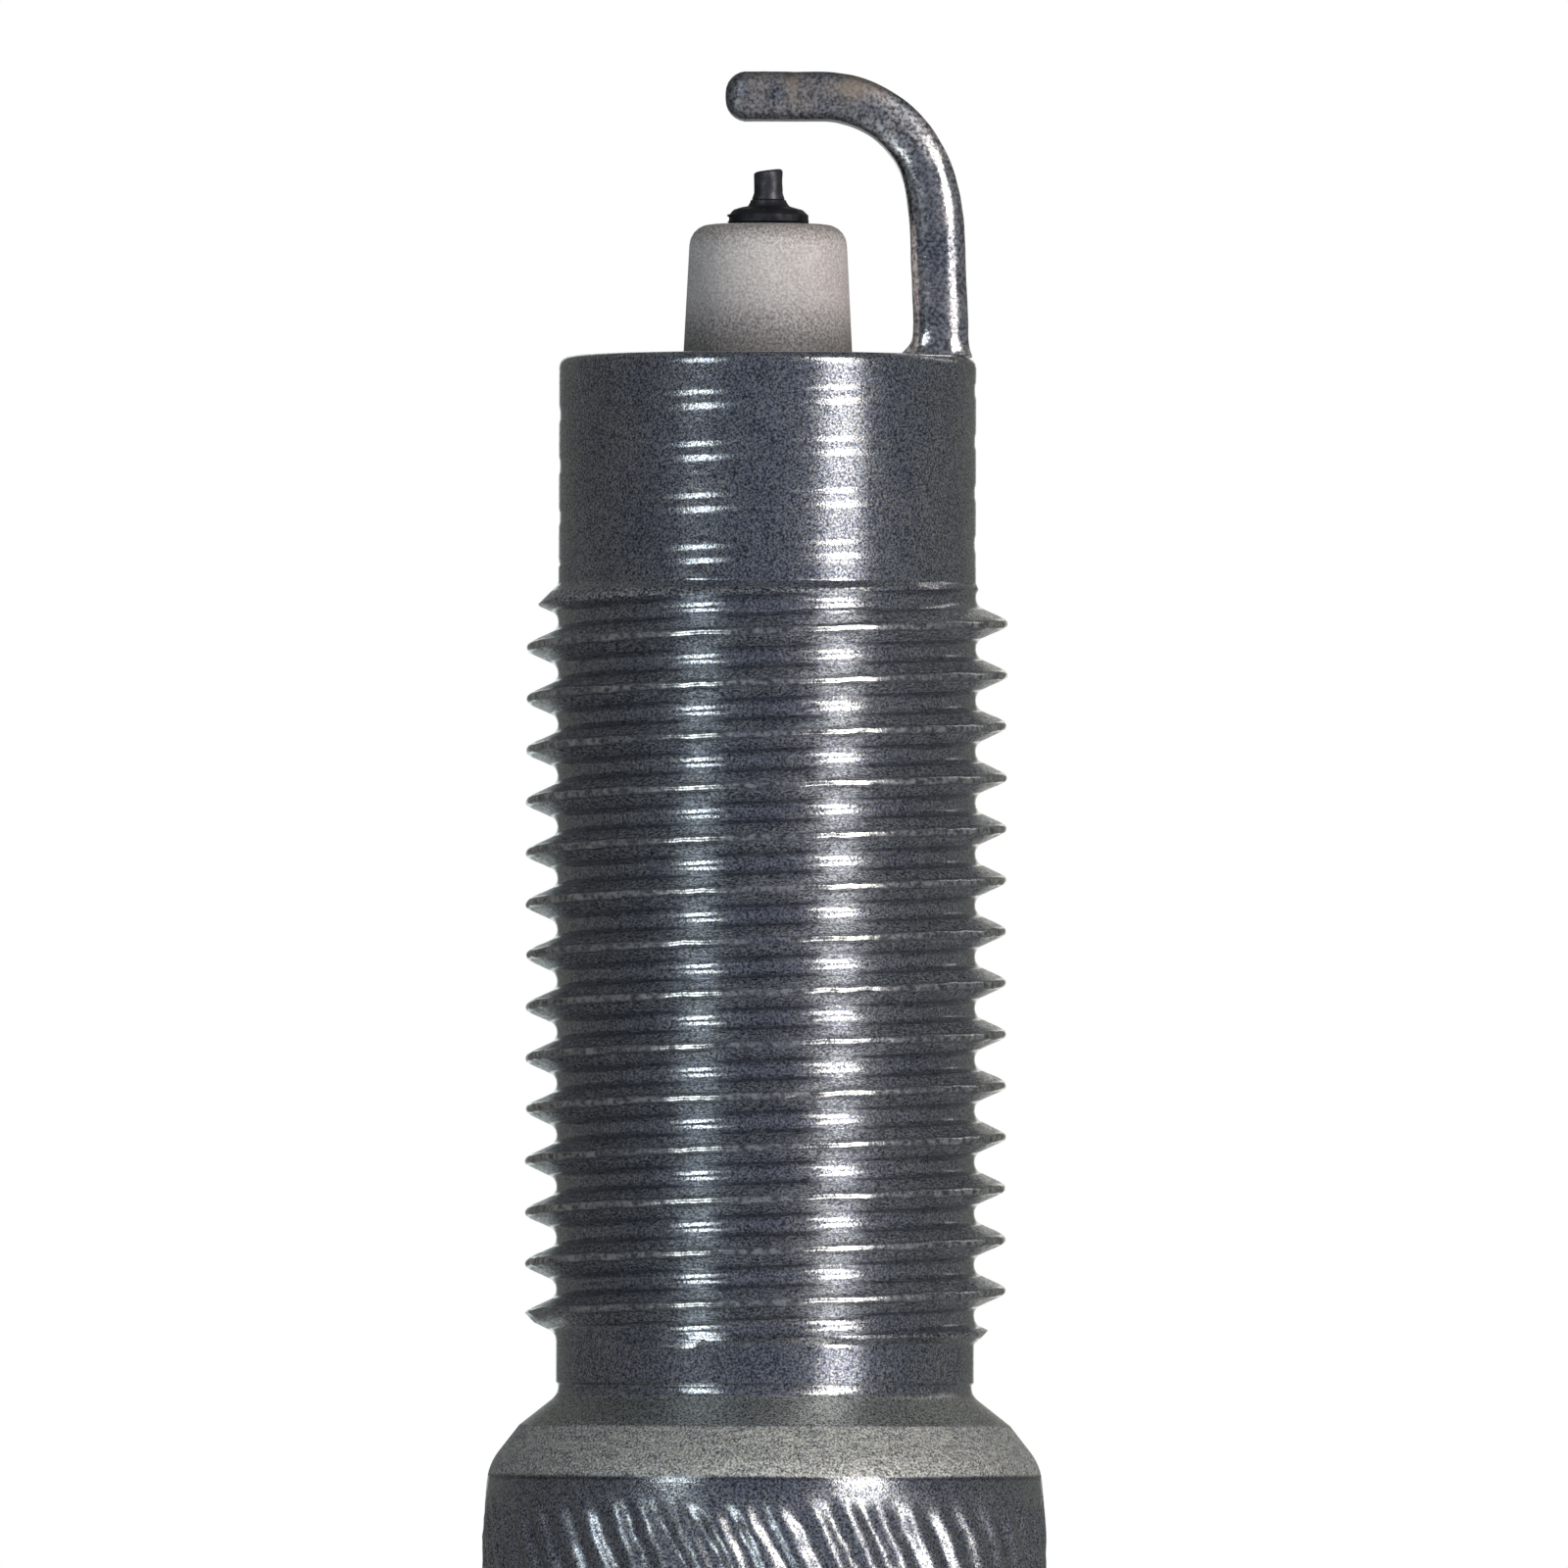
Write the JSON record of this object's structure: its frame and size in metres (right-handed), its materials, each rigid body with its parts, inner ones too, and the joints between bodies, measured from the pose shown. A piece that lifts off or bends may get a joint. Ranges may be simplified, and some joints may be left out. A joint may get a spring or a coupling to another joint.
{
  "type": "spark plug",
  "caption": "Long-reach resistor spark plug with conical seat, rolled thread, fine-wire centre electrode, bent ground electrode, ribbed insulator and removable terminal nut.",
  "frame": {"origin": "on the plug's axis at the gauge plane of the conical seat", "axes": "+Z along the axis to the firing end; +X towards the side that the ground electrode is welded to"},
  "size_m": [0.0184, 0.016, 0.084],
  "materials": {
    "shell_steel": "dark blue-grey plated steel, matt olive-grey on the conical seat",
    "ground_electrode_alloy": "drawn nickel alloy strap, dark grey",
    "insulator_ceramic": "bare grey-beige alumina at the nose, clear glaze at the rear",
    "centre_electrode_alloy": "near-black nickel alloy",
    "electrode_copper": "plain copper, hidden",
    "fine_wire_metal": "dark drawn precious-metal wire",
    "seal_glass": "opaque copper-filled glass, hidden",
    "resistor_mix": "carbon and glass compact, hidden",
    "stud_steel": "plated steel",
    "nut_steel": "bright plated steel",
    "packing_steel": "soft steel, hidden",
    "talc": "pressed talc powder, hidden"
  },
  "bodies": {
    "plug": {"metal_shell": "shell_steel", "ground_electrode": "ground_electrode_alloy", "insulator": "insulator_ceramic", "centre_electrode": "centre_electrode_alloy", "centre_electrode_core": "electrode_copper", "fine_wire_tip": "fine_wire_metal", "lower_glass_seal": "seal_glass", "resistor": "resistor_mix", "upper_glass_seal": "seal_glass", "terminal_stud": "stud_steel", "seat_packing_washer": "packing_steel", "lower_packing_ring": "packing_steel", "talc_ring": "talc", "upper_packing_ring": "packing_steel"},
    "nut": {"terminal_nut": "nut_steel"}
  },
  "joints": [
    {"name": "terminal_nut_slide", "type": "slide", "parent": "plug", "child": "nut", "axis": [0, 0, -1], "range_m": [0, 0.009]}
  ]
}
